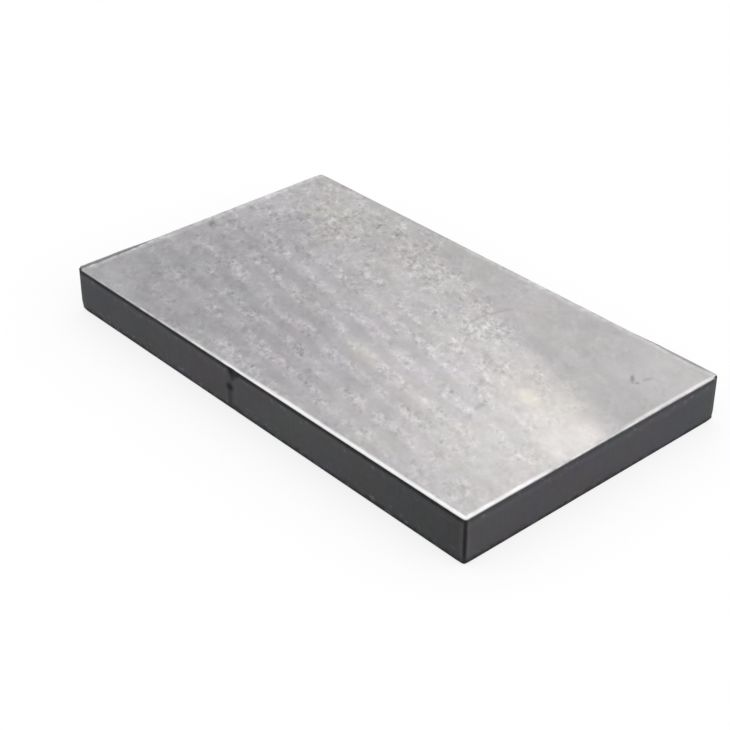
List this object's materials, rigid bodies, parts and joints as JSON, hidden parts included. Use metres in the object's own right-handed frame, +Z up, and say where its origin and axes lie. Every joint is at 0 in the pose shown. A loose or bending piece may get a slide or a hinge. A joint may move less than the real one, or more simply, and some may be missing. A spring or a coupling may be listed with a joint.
{
  "type": "steel plate",
  "caption": "Thick rectangular steel plate, cut to size, with a bright machined face, dark oxidised cut sides and broken edges, lying flat as stock.",
  "frame": {"origin": "centre of the underside, on the floor that the plate lies on", "axes": "+X along the length, +Y across the width towards the back, +Z up through the thickness to the machined face"},
  "size_m": [0.465, 0.27, 0.04],
  "materials": {
    "steel": "bright machined faces with soft feed bands, dark grey oxide on the cut sides, bare metal on the broken top edges"
  },
  "bodies": {
    "root": {"steel_plate": "steel"}
  },
  "joints": []
}
